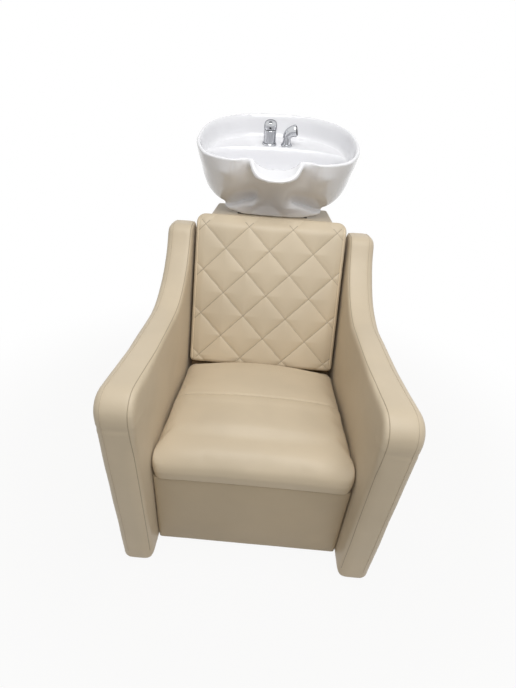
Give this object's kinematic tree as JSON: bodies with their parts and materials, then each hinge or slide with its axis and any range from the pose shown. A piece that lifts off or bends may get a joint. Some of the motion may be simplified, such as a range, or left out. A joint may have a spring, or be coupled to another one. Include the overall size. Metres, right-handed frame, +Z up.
{
  "type": "backwash shampoo chair",
  "caption": "Upholstered salon backwash chair with a quilted reclined back and a tilting ceramic shampoo basin, mixer and pull-out shower on a plumbing housing.",
  "frame": {"origin": "centre of the footprint on the floor", "axes": "+Z up, -Y to the front of the chair, X across it"},
  "size_m": [0.688, 1.2291, 1.1322],
  "materials": {
    "upholstery": "warm beige leatherette, fine grain, satin",
    "panel_upholstery": "beige leatherette in shade, satin",
    "plywood": "plain plywood",
    "timber": "sawn softwood batten",
    "ceramic": "white glaze",
    "chrome": "polished chrome",
    "steel": "black powder coat",
    "zinc": "zinc plated",
    "brass": "raw brass",
    "copper": "drawn tube",
    "black_plastic": "matt black",
    "index_plastic": "small dark plug",
    "rubber": "black rubber",
    "door_laminate": "door board covered to match"
  },
  "bodies": {
    "chair": {"back_board": "plywood", "back_cushion": "upholstery", "base_cross_rail": "timber", "base_plate_bolts": "zinc", "base_rails": "timber", "bay_floor": "plywood", "door_catch": "black_plastic", "door_pins": "zinc", "floor_glides": "black_plastic", "front_panel": "panel_upholstery", "front_panel_board": "plywood", "front_rail": "timber", "hinge_pin": "zinc", "housing_leaves": "steel", "housing_shell": "upholstery", "left_arm_cover": "upholstery", "left_arm_frame": "plywood", "lock_bracket": "steel", "lock_bush": "black_plastic", "lock_pads": "rubber", "lock_sleeve": "zinc", "rear_panel": "upholstery", "rear_rail": "timber", "right_arm_cover": "upholstery", "right_arm_frame": "plywood", "seat_board": "plywood", "seat_cushion": "upholstery", "tilt_base_plate": "steel", "top_board": "plywood"},
    "basin": {"basin_bowl": "ceramic", "tilt_plate": "steel", "tilt_screws": "zinc", "tilt_quadrant": "steel", "drain_tail": "chrome", "drain_gasket": "rubber", "drain_nut": "black_plastic", "mixer_base_ring": "chrome", "mixer_body": "chrome", "mixer_shank": "brass", "mixer_washer": "rubber", "mixer_nut": "brass", "inlet_tubes": "copper", "shower_base_ring": "chrome", "shower_sleeve": "chrome", "shower_washer": "rubber", "shower_nut": "brass"},
    "strainer": {"drain_strainer": "chrome"},
    "mixer_turret": {"mixer_turret": "chrome"},
    "mixer_lever": {"mixer_handle": "chrome", "index_plug": "index_plastic"},
    "handset": {"handset_body": "chrome", "handset_face": "black_plastic"},
    "lock": {"lock_lever": "steel", "lock_grip": "black_plastic", "lock_stud": "zinc", "lock_nut": "zinc"},
    "door": {"access_door": "door_laminate", "door_knob": "chrome", "door_leaves": "steel"}
  },
  "joints": [
    {"name": "basin_tilt", "type": "hinge", "parent": "chair", "child": "basin", "pos_m": [0, 0.283, 0.824], "axis": [1, 0, 0], "range_deg": [-14, 0]},
    {"name": "tilt_lock_turn", "type": "hinge", "parent": "chair", "child": "lock", "pos_m": [0.225, 0.39872, 0.75447], "axis": [1, 0, 0], "range_deg": [0, 60]},
    {"name": "access_door_swing", "type": "hinge", "parent": "chair", "child": "door", "pos_m": [-0.166, 0.469, 0.35], "axis": [0, 0, 1], "range_deg": [0, 105]},
    {"name": "mixer_turn", "type": "hinge", "parent": "basin", "child": "mixer_turret", "pos_m": [-0.032, 0.48238, 1.08667], "axis": [0, -0.2419, 0.9703], "range_deg": [-45, 45]},
    {"name": "mixer_lift", "type": "hinge", "parent": "mixer_turret", "child": "mixer_lever", "pos_m": [-0.032, 0.48238, 1.08667], "axis": [-1, 0, 0], "range_deg": [0, 20]},
    {"name": "handset_lift", "type": "slide", "parent": "basin", "child": "handset", "axis": [0, -0.2419, 0.9703], "range_m": [0, 0.3]},
    {"name": "strainer_lift", "type": "slide", "parent": "basin", "child": "strainer", "axis": [0, -0.2419, 0.9703], "range_m": [0, 0.05]}
  ]
}
